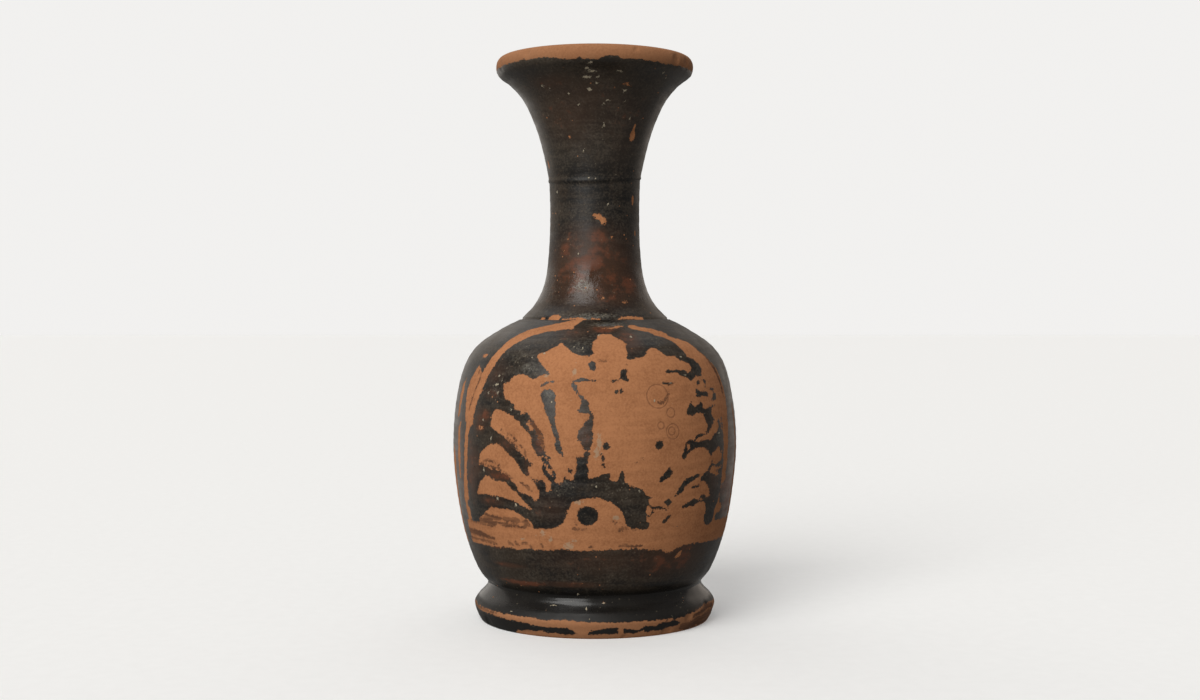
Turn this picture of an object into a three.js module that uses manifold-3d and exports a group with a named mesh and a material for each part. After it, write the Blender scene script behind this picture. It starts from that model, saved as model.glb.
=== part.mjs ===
// A squat lekythos: a small oil flask of fired clay, thrown on the wheel as one hollow wall
// from ring foot to flaring mouth, with a strap handle pressed on behind the neck.
// Millimetres, +Z up. The origin is the centre of the resting plane under the foot,
// the painted front faces -Y and the handle stands at +Y.

import * as THREE from "three";
import { mergeVertices } from "three/addons/utils/BufferGeometryUtils.js";
import Module from "manifold-3d";

const wasm = await Module();
wasm.setup();

// Ring foot: radii, and heights above the resting plane.
const restOuterRadius = 30.6;
const restInnerRadius = 24.6;
const recessRadius = 23.4;
const recessHeight = 3.2;
const footRadius = 32.4;
const footEdgeHeight = 4.3;
const grooveRadius = 28.8;
const grooveHeight = 10.0;

// Body, from the groove over the foot to the crease under the neck.
const bellyRadius = 38.2;
const bellyHeight = 46.0;
const creaseRadius = 19.9;
const creaseHeight = 80.2;
const floorHeight = 9.2;
const bodyWall = 3.4;

// Neck and trumpet mouth. A fine raised line marks where the mouth was joined to the neck,
// and the neck is narrowest a little below it.
const joinRadius = 12.4;
const joinHeight = 117.0;
const joinLineProud = 0.35;
const joinLineWidth = 1.1;
const joinLineSlope = 0.33;
const waistRadius = 12.2;
const waistBelowJoin = 9.0;
const neckWall = 3.0;
const lipRadius = 26.75;
const lipHeight = 147.4;
const mouthHeight = 150.0;
const lipThickness = 4.6;
const lipFlatWidth = 1.2;

// Strap handle: where its centre line leaves the neck and meets the shoulder, and how far it bows.
// Its upper end and its crown are set off from the line where the mouth was joined.
const handleTopBelowJoin = 5.5;
const handleCrownBelowJoin = 0.8;
const handleReach = 31.0;
const handleFootRadius = 27.6;
const handleWidth = 12.5;
const handleThickness = 5.0;
const handleEndSpread = 1.35;
const handleEndLength = 9.0;

// Bends of the handle's centre line, each as its share of the way out from the neck
// and its share of the fall from the crown to the shoulder.
const handleBends = [
  [0.316, 0.015],
  [0.684, 0.012],
  [0.934, 0.2],
  [1, 0.5],
  [0.893, 0.826],
];

// How far the handle's ends and the inside's finer points go, as shares of the wall there.
const handleSink = 0.6;
const floorCornerStart = 0.72;
const floorCornerPull = 0.93;
const floorCornerLift = 0.06;
const beadTuck = 0.4;

// Facets round the wall, and steps along one stretch of curve.
const facets = 48;
const stretchSteps = 2;
const roundSteps = 4;
const handleSteps = 24;
const strapSides = 14;

const at = (radius, height) => new THREE.Vector2(radius, height);

// A smooth stretch of the wall between two driven points. Each bend is given as its share
// of the rise and its share of the change in radius, so the stretch follows its ends.
function stretch(from, to, bends) {
  const inner = bends.map(([rise, change]) =>
    at(
      THREE.MathUtils.lerp(from.x, to.x, change),
      THREE.MathUtils.lerp(from.y, to.y, rise),
    ),
  );
  const points = [from, ...inner, to];
  return new THREE.SplineCurve(points).getPoints((points.length - 1) * stretchSteps);
}

// The corners of the wall's outside.
const rest = at(restOuterRadius, 0);
const footEdge = at(footRadius, footEdgeHeight);
const groove = at(grooveRadius, grooveHeight);
const belly = at(bellyRadius, bellyHeight);
const crease = at(creaseRadius, creaseHeight);
const waist = at(waistRadius, joinHeight - waistBelowJoin);
const join = at(joinRadius, joinHeight);
const lip = at(lipRadius, lipHeight);

const footSide = stretch(rest, footEdge, [[0.37, 0.61]]);
const footTop = stretch(footEdge, groove, [
  [0.35, 0.31],
  [0.72, 0.86],
]);
const lowerBody = stretch(groove, belly, [
  [0.11, 0.31],
  [0.36, 0.66],
  [0.67, 0.89],
]);
const upperBody = stretch(belly, crease, [
  [0.32, 0.03],
  [0.61, 0.155],
  [0.79, 0.355],
  [0.925, 0.72],
]);
const neck = stretch(crease, waist, [
  [0.147, 0.494],
  [0.353, 0.818],
  [0.658, 0.961],
]);
const collar = stretch(waist, join, []);
const joinLine = [
  at(joinRadius + joinLineProud, joinHeight + joinLineSlope),
  at(joinRadius + joinLineProud, joinHeight + joinLineWidth - joinLineSlope),
];
const flare = stretch(at(joinRadius, joinHeight + joinLineWidth), lip, [
  [0.13, 0.06],
  [0.353, 0.174],
  [0.54, 0.314],
  [0.71, 0.488],
  [0.85, 0.72],
  [0.935, 0.93],
]);

// The lip is a rounded bead with a narrow flat on top.
const beadCentre = lipRadius - lipThickness / 2;
const beadRise = mouthHeight - lipHeight;
const beadRound = (lipThickness - lipFlatWidth) / 2;
const quarter = (side, from, to) =>
  new THREE.EllipseCurve(
    beadCentre + (side * lipFlatWidth) / 2,
    lipHeight,
    beadRound,
    beadRise,
    from,
    to,
  ).getPoints(roundSteps);
const lipOutside = quarter(1, 0, Math.PI / 2);
const lipInside = quarter(-1, Math.PI / 2, Math.PI);

// The same stretch moved inwards by the wall's thickness, square to its surface.
function inset(points, wall) {
  return points.map((point, i) => {
    const before = points[Math.max(i - 1, 0)];
    const after = points[Math.min(i + 1, points.length - 1)];
    const along = after.clone().sub(before).normalize();
    return at(point.x - along.y * wall, point.y + along.x * wall);
  });
}

const every = (points, step) => points.filter((_, i) => i % step === 0);
const bodyInside = [
  ...every(inset(lowerBody, bodyWall), 2).filter((p) => p.y > floorHeight + bodyWall),
  ...every(inset(upperBody, bodyWall), 2).slice(1),
];
const neckInside = [
  ...every(inset(neck, neckWall), 2),
  ...inset(collar, neckWall).slice(1),
];
const flareInside = every(inset(flare, neckWall), 2)
  .slice(1)
  .filter((p) => p.y < lipHeight - beadRise * beadTuck);

// The floor curves up to the wall through one rounded corner.
const wallFoot = bodyInside[0];
const floorCorner = new THREE.QuadraticBezierCurve(
  at(wallFoot.x * floorCornerStart, floorHeight),
  at(wallFoot.x * floorCornerPull, floorHeight + bodyWall * floorCornerLift),
  wallFoot,
)
  .getPoints(roundSteps)
  .slice(0, -1);

const outside = [
  at(0, recessHeight),
  at(recessRadius, recessHeight),
  at(restInnerRadius, 0),
  ...footSide,
  ...footTop.slice(1),
  ...lowerBody.slice(1),
  ...upperBody.slice(1),
  ...neck.slice(1),
  ...collar.slice(1),
  ...joinLine,
  ...flare,
  ...lipOutside.slice(1),
  at(0, mouthHeight),
];
const hollow = [
  at(0, floorHeight),
  ...floorCorner,
  ...bodyInside,
  ...neckInside,
  ...flareInside,
  ...[...lipInside].reverse(),
  at(beadCentre - lipFlatWidth / 2, mouthHeight + lipThickness),
  at(0, mouthHeight + lipThickness),
];

// A closed mesh with its shared vertices merged, as a solid.
function solid(geometry) {
  geometry.deleteAttribute("normal");
  geometry.deleteAttribute("uv");
  const merged = mergeVertices(geometry, 1e-4);
  return new wasm.Manifold(
    new wasm.Mesh({
      numProp: 3,
      vertProperties: new Float32Array(merged.attributes.position.array),
      triVerts: new Uint32Array(merged.index.array),
    }),
  );
}

// A profile of radius and height turned about the vessel's upright axis.
function turned(profile) {
  const geometry = new THREE.LatheGeometry(profile, facets);
  geometry.rotateX(Math.PI / 2);
  return solid(geometry);
}

// The handle's centre line, in the plane behind the neck: out and up from the neck,
// over a round crown, and down to the shoulder.
function handleLine() {
  const shoulderHeight = heightOnShoulder(handleFootRadius);
  const crownHeight = joinHeight - handleCrownBelowJoin;
  const start = [waistRadius - neckWall * handleSink, joinHeight - handleTopBelowJoin];
  const end = [handleFootRadius, shoulderHeight - bodyWall * handleSink];
  const bends = handleBends.map(([out, fall]) => [
    THREE.MathUtils.lerp(waistRadius, handleReach, out),
    THREE.MathUtils.lerp(crownHeight, shoulderHeight, fall),
  ]);
  return new THREE.CatmullRomCurve3(
    [start, ...bends, end].map(([out, height]) => new THREE.Vector3(0, out, height)),
    false,
    "centripetal",
  );
}

// The height of the wall's outside at a radius on the shoulder.
function heightOnShoulder(radius) {
  const i = upperBody.findIndex((p, k) => k > 0 && p.x <= radius);
  const [a, b] = [upperBody[i - 1], upperBody[i]];
  return THREE.MathUtils.mapLinear(radius, a.x, b.x, a.y, b.y);
}

// The strap: a flattened oval carried along the centre line, spreading where it is pressed on.
function strap() {
  const line = handleLine();
  const length = line.getLength();
  const across = new THREE.Vector3(1, 0, 0);
  const positions = [];
  const indices = [];
  for (let i = 0; i <= handleSteps; i++) {
    const t = i / handleSteps;
    const centre = line.getPointAt(t);
    const outward = new THREE.Vector3().crossVectors(across, line.getTangentAt(t));
    const nearEnd = Math.max(0, 1 - (Math.min(t, 1 - t) * length) / handleEndLength);
    const spread = 1 + (handleEndSpread - 1) * nearEnd * nearEnd;
    for (let k = 0; k < strapSides; k++) {
      const angle = (2 * Math.PI * k) / strapSides;
      const halfWidth = (handleWidth / 2) * spread * Math.cos(angle);
      const halfThickness = (handleThickness / 2) * spread * Math.sin(angle);
      const point = centre
        .clone()
        .addScaledVector(across, halfWidth)
        .addScaledVector(outward, halfThickness);
      positions.push(point.x, point.y, point.z);
    }
  }
  const ring = (i, k) => i * strapSides + (k % strapSides);
  for (let i = 0; i < handleSteps; i++) {
    for (let k = 0; k < strapSides; k++) {
      indices.push(ring(i, k), ring(i + 1, k), ring(i + 1, k + 1));
      indices.push(ring(i, k), ring(i + 1, k + 1), ring(i, k + 1));
    }
  }
  for (let k = 1; k < strapSides - 1; k++) {
    indices.push(ring(0, 0), ring(0, k), ring(0, k + 1));
    indices.push(ring(handleSteps, 0), ring(handleSteps, k + 1), ring(handleSteps, k));
  }
  const geometry = new THREE.BufferGeometry();
  geometry.setAttribute("position", new THREE.Float32BufferAttribute(positions, 3));
  geometry.setIndex(indices);
  return solid(geometry);
}

// The wall with its handle, hollowed from mouth to floor.
function vessel() {
  const made = turned(outside).add(strap()).subtract(turned(hollow)).getMesh();
  const geometry = new THREE.BufferGeometry();
  geometry.setAttribute("position", new THREE.BufferAttribute(made.vertProperties, 3));
  geometry.setIndex(new THREE.BufferAttribute(made.triVerts, 1));
  geometry.computeVertexNormals();
  const slippedClay = new THREE.MeshStandardMaterial({
    color: 0x2a2320,
    roughness: 0.38,
    metalness: 0,
  });
  const mesh = new THREE.Mesh(geometry, slippedClay);
  mesh.name = "vessel";
  return mesh;
}

const lekythos = new THREE.Group();
lekythos.add(vessel());

export default lekythos;
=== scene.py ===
import math

import bmesh
import bpy
import numpy as np
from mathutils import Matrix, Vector, noise


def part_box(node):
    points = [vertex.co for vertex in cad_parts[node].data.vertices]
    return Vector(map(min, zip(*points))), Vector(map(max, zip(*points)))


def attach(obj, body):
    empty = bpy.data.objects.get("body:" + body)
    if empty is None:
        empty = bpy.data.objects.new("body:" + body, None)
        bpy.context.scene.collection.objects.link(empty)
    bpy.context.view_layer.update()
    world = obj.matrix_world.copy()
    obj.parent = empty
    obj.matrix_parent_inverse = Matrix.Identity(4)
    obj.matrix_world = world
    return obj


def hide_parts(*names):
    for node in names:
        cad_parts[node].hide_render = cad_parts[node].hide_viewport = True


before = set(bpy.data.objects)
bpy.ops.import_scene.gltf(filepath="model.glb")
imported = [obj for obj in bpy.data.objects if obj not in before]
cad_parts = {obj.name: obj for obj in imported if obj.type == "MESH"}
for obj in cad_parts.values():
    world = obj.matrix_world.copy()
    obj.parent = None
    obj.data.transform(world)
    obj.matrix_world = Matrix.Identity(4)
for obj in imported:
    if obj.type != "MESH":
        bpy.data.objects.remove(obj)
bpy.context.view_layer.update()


# The wall of the flask
# Levigated orange clay, thrown on the wheel as foot, body, neck and mouth, joined while damp
# and turned smooth. One closed skin: outside, lip, inside and the recessed underside.
MM = 0.001
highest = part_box("vessel")[1]
HEIGHT = highest.z / MM
BELLY_RADIUS = highest.x / MM
BELLY_HEIGHT = 46.0
REST_INNER = (24.6, 0.0)
RECESS = (23.4, 3.2)
FLOOR_HEIGHT = 9.2
BODY_WALL = 3.4
NECK_WALL = 3.0
LIP_THICKNESS, LIP_FLAT = 4.6, 1.2
CREASE = (19.9, 80.2)
JOIN = (12.4, 117.0)
JOIN_RING = [(12.52, 117.12), (12.64, 117.36), (12.68, 117.60), (12.66, 117.84), (12.62, 118.08)]
LIP = (26.75, 147.4)

# The outside as (radius, height), one smooth stretch after another.
FOOT = [(30.6, 0.0), (31.6, 1.6), (32.4, 4.3), (31.3, 6.3), (29.3, 8.4), (28.8, 10.0)]
BODY = [
    (28.8, 10.0), (31.7, 14.0), (35.0, 23.0), (37.2, 34.0), (BELLY_RADIUS, BELLY_HEIGHT),
    (37.6, 57.0), (35.4, 67.0), (31.7, 73.0), (25.0, 77.6), CREASE,
]
NECK = [CREASE, (16.1, 84.3), (13.6, 90.0), (12.5, 98.5), (12.2, 108.0), JOIN]
CREASE_GROOVE = [(20.62, 79.83), (20.32, 79.98), (20.08, 80.0), (19.82, 80.01), (19.66, 80.08),
                 (19.66, 80.4), (19.5, 80.62), (19.2, 80.93)]
MOUTH = [
    JOIN, (13.4, 122.0), (15.0, 128.5), (17.0, 134.0), (19.5, 139.0),
    (22.9, 143.0), (26.1, 145.5), LIP,
]
BELOW_GROOVE, ABOVE_GROOVE, ABOVE_RING = 0.1, 0.3, 0.22
PAINTED_FROM = 22.0

# The inside stops below the lip, leaves out where body and neck would cross, and the floor bends
# up to the wall at places given as (in from the wall, above the floor).
BELOW_LIP = 1.0
CREASE_OVERLAP = 20
FLOOR_BENDS = [(2.2, 0.9), (7.0, 0.0)]

# The mesh is finest where the brush went.
FRONT_ARC, FRONT_SECTORS = math.radians(79), 4
FRONT_STEP, BACK_STEP = 0.5, 2.2
STEP_FOOT, STEP_LOW, STEP_PAINTED, STEP_PLAIN = 0.45, 1.0, 0.5, 0.95
STEP_INSIDE, STEP_UNDER = 4.0, 2.4
LIP_OUTER_POINTS, LIP_INNER_POINTS = 8, 7
SAME_PLACE = 0.01


def curve_through(points, steps=24):
    """A smooth curve through a few points, as a close row of them."""
    ends = [2 * np.array(points[0]) - points[1], 2 * np.array(points[-1]) - points[-2]]
    p = np.array([ends[0], *points, ends[1]], float)
    row = []
    for a, b, c, d in zip(p, p[1:], p[2:], p[3:]):
        for t in np.arange(steps) / steps:
            row.append(0.5 * (2 * b + (c - a) * t + (2 * a - 5 * b + 4 * c - d) * t**2
                              + (3 * b - a - 3 * c + d) * t**3))
    return np.array([*row, p[-2]])


def run_along(row):
    """How far along the row each of its points lies."""
    return np.r_[0, np.cumsum(np.linalg.norm(np.diff(row, axis=0), axis=1))]


def evenly(row, step):
    """The same row of points at an even spacing."""
    run = run_along(row)
    at = np.linspace(0, run[-1], max(2, round(run[-1] / step) + 1))
    return np.c_[[np.interp(at, run, row[:, k]) for k in range(row.shape[1])]].T


def thinner(row, wall):
    """The row moved inwards by the wall's thickness."""
    along = np.gradient(row, axis=0)
    along /= np.linalg.norm(along, axis=1)[:, None]
    return row + np.c_[-along[:, 1], along[:, 0]] * wall


def rounded(centre, radii, start, stop, count):
    """Part of an oval's edge, such as the bead of the lip."""
    turn = np.radians(np.linspace(start, stop, count))
    return np.c_[centre[0] + radii[0] * np.cos(turn), centre[1] + radii[1] * np.sin(turn)]


body = curve_through(BODY)
low = body[body[:, 1] < PAINTED_FROM]
painted = body[body[:, 1] >= PAINTED_FROM]
neck = curve_through(NECK)
mouth = curve_through(MOUTH)
bead_middle = LIP[0] - LIP_THICKNESS / 2
bead = (LIP_THICKNESS / 2 - LIP_FLAT / 2, HEIGHT - LIP[1])
lip = np.r_[
    rounded((bead_middle + LIP_FLAT / 2, LIP[1]), bead, 0, 90, LIP_OUTER_POINTS)[1:],
    rounded((bead_middle - LIP_FLAT / 2, LIP[1]), bead, 90, 180, LIP_INNER_POINTS),
]
inside = np.r_[
    thinner(mouth, NECK_WALL)[:0:-1],
    thinner(neck, NECK_WALL)[::-1],
    thinner(body, BODY_WALL)[-CREASE_OVERLAP:0:-1],
]
inside = inside[(inside[:, 1] < LIP[1] - BELOW_LIP) & (inside[:, 1] > FLOOR_HEIGHT + BODY_WALL)]
wall_foot = inside[-1]
floor_bends = [(wall_foot[0] - inward, FLOOR_HEIGHT + lift) for inward, lift in FLOOR_BENDS]
floor = curve_through([wall_foot, *floor_bends, (0, FLOOR_HEIGHT)])
outside = np.r_[
    evenly(curve_through(FOOT), STEP_FOOT),
    evenly(np.r_[low, painted[:1]], STEP_LOW)[1:],
    evenly(painted[painted[:, 1] < CREASE_GROOVE[0][1] - BELOW_GROOVE], STEP_PAINTED)[1:],
    np.array(CREASE_GROOVE),
    evenly(neck[neck[:, 1] > CREASE_GROOVE[-1][1] + ABOVE_GROOVE], STEP_PLAIN),
    np.array(JOIN_RING),
    evenly(mouth[mouth[:, 1] > JOIN_RING[-1][1] + ABOVE_RING], STEP_PLAIN),
]
outside[:, 0] = np.minimum(outside[:, 0], BELLY_RADIUS)
underside = evenly(np.array([(0, RECESS[1]), RECESS, REST_INNER, FOOT[0]]), STEP_UNDER)[:-1]
profile = np.r_[
    underside, outside, lip, evenly(inside, STEP_INSIDE), evenly(floor, STEP_INSIDE)[1:],
]

shell = bmesh.new()
sector_arc = 2 * FRONT_ARC / FRONT_SECTORS
sectors = [(-FRONT_ARC + k * sector_arc, sector_arc, FRONT_STEP) for k in range(FRONT_SECTORS)]
for start, angle, step in [*sectors, (FRONT_ARC, 2 * math.pi - 2 * FRONT_ARC, BACK_STEP)]:
    sector = bmesh.new()
    row = [sector.verts.new((r * math.sin(start) * MM, -r * math.cos(start) * MM, z * MM))
           for r, z in profile]
    edges = [sector.edges.new(pair) for pair in zip(row, row[1:])]
    bmesh.ops.spin(sector, geom=row + edges, cent=(0, 0, 0), axis=(0, 0, 1), angle=angle,
                   steps=round(angle * BELLY_RADIUS / step), use_merge=False)
    part = bpy.data.meshes.new("sector")
    sector.to_mesh(part)
    sector.free()
    shell.from_mesh(part)
    bpy.data.meshes.remove(part)
bmesh.ops.remove_doubles(shell, verts=shell.verts[:], dist=SAME_PLACE * MM)
bmesh.ops.recalc_face_normals(shell, faces=shell.faces[:])
flask_mesh = bpy.data.meshes.new("flask")
shell.to_mesh(flask_mesh)
shell.free()
flask = bpy.data.objects.new("flask", flask_mesh)
bpy.context.collection.objects.link(flask)


# The strap handle
# A pulled strap of the same clay, luted to the upper neck and to the edge of the shoulder,
# with its two ends thumbed out into the wall. The neck hides it from the front.
STRAP_WIDTH = 12.5
STRAP_THICKNESS = 5.0
STRAP_THINNED = 0.16
STRAP_SPREAD = 1.45
STRAP_LUTED = 9.0
STRAP_ROUGH_STEP = 1.0
STRAP_STATIONS = 72
STRAP_SIDES = 36
STRAP_LINE = [
    (10.4, 111.5), (18.1, 115.6), (25.1, 115.7), (29.8, 108.2),
    (31.0, 96.1), (29.0, 83.1), (27.6, 74.0),
]
line = evenly(curve_through(STRAP_LINE), STRAP_ROUGH_STEP)
line = evenly(line, run_along(line)[-1] / STRAP_STATIONS)
along = np.gradient(line, axis=0)
along /= np.linalg.norm(along, axis=1)[:, None]
run = run_along(line)
shoulder = body[body[:, 1] > BELLY_HEIGHT][::-1].T

strap = bmesh.new()
bmesh.ops.create_circle(strap, segments=STRAP_SIDES, radius=1.0)
section = strap.verts.layers.float_vector.new("section")
for v in strap.verts:
    v[section] = v.co
ring = strap.verts[:]
edges = strap.edges[:]
strap.faces.new(ring)
for i, (out, height) in enumerate(line):
    if i:
        added = bmesh.ops.extrude_edge_only(strap, edges=edges)["geom"]
        ring = [g for g in added if isinstance(g, bmesh.types.BMVert)]
        edges = [g for g in added if isinstance(g, bmesh.types.BMEdge)
                 and all(v in ring for v in g.verts)]
    near_end = max(0.0, 1 - min(run[i], run[-1] - run[i]) / STRAP_LUTED)
    spread = 1 + (STRAP_SPREAD - 1) * near_end**2
    for v in ring:
        c = v[section]
        flat = 1 - STRAP_THINNED * c.x**2
        aside = c.x * STRAP_WIDTH / 2 * spread
        proud = c.y * STRAP_THICKNESS / 2 * spread * flat
        back, lift = out + along[i][1] * proud, height - along[i][0] * proud
        if run[i] < STRAP_LUTED:
            back -= near_end**2 * (STRAP_LINE[0][0] - math.sqrt(STRAP_LINE[0][0]**2 - aside**2))
        else:
            fall = np.interp([STRAP_LINE[-1][0], math.hypot(aside, back)], *shoulder)
            lift -= near_end**2 * (fall[0] - fall[1])
        v.co = Vector((aside, back, lift)) * MM
strap.faces.new(ring)
bmesh.ops.recalc_face_normals(strap, faces=strap.faces[:])
strap_mesh = bpy.data.meshes.new("strap")
strap.to_mesh(strap_mesh)
strap.free()
strap_object = bpy.data.objects.new("strap", strap_mesh)
bpy.context.collection.objects.link(strap_object)
luting = flask.modifiers.new("luting", "BOOLEAN")
luting.operation = "UNION"
luting.solver = "MANIFOLD"
luting.object = strap_object
luted = flask.evaluated_get(bpy.context.evaluated_depsgraph_get())
one_piece = bpy.data.meshes.new_from_object(luted)
flask.modifiers.clear()
flask.data = one_piece
bpy.data.objects.remove(strap_object)
seam = bmesh.new()
seam.from_mesh(one_piece)
bmesh.ops.triangulate(seam, faces=[f for f in seam.faces if len(f.verts) > 4])
seam.to_mesh(one_piece)
seam.free()


# The slip: where each point of the skin lies
# Places on the skin are measured in mm: turn runs from the middle of the front, and up along
# the outline from the resting edge. Across is the turn as a length at the belly.
BATCHES = 24
OFF_THE_WALL = 0.03
points = np.empty(len(one_piece.vertices) * 3)
one_piece.vertices.foreach_get("co", points)
points = points.reshape(-1, 3) / MM
radius = np.hypot(points[:, 0], points[:, 1])
turn = np.arctan2(points[:, 0], -points[:, 1])
rise = points[:, 2]
profile_run = run_along(profile)
profile_run -= profile_run[len(underside)]
up = np.empty(len(points))
off_wall = np.empty(len(points))
for some in np.array_split(np.arange(len(points)), BATCHES):
    gap = np.hypot(radius[some, None] - profile[:, 0], rise[some, None] - profile[:, 1])
    nearest = gap.argmin(axis=1)
    up[some] = profile_run[nearest]
    off_wall[some] = gap[np.arange(len(some)), nearest]
on_strap = off_wall > OFF_THE_WALL
across = turn * BELLY_RADIUS
UP_AT_LIP = profile_run[len(underside) + len(outside) - 1]
UP_AT_MOUTH_TOP = profile_run[len(underside) + len(outside) + len(lip) // 2]
outline_up = profile_run[len(underside):len(underside) + len(outside)]


def up_at(height):
    """The distance up the outside at a height above the resting plane."""
    return np.interp(height, outside[:, 1], outline_up)


def girth_at(height):
    """The outside's radius at a height."""
    return float(np.interp(height, outside[:, 1], outside[:, 0]))


def on_skin(angle, height):
    """The place on the outside at a turn and a height."""
    return girth_at(height) * np.array([math.sin(angle), -math.cos(angle), 0]) + (0, 0, height)


# The slip: the palmette and its frame
# The potter left the palmette bare and filled round it with a brush of thin, dark slip that
# fired black. Outlines are places across and up. A brush stroke is a few places of its middle
# line, with its half width there.
REACH = 4.0
BRUSH_STEPS = 6

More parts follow.
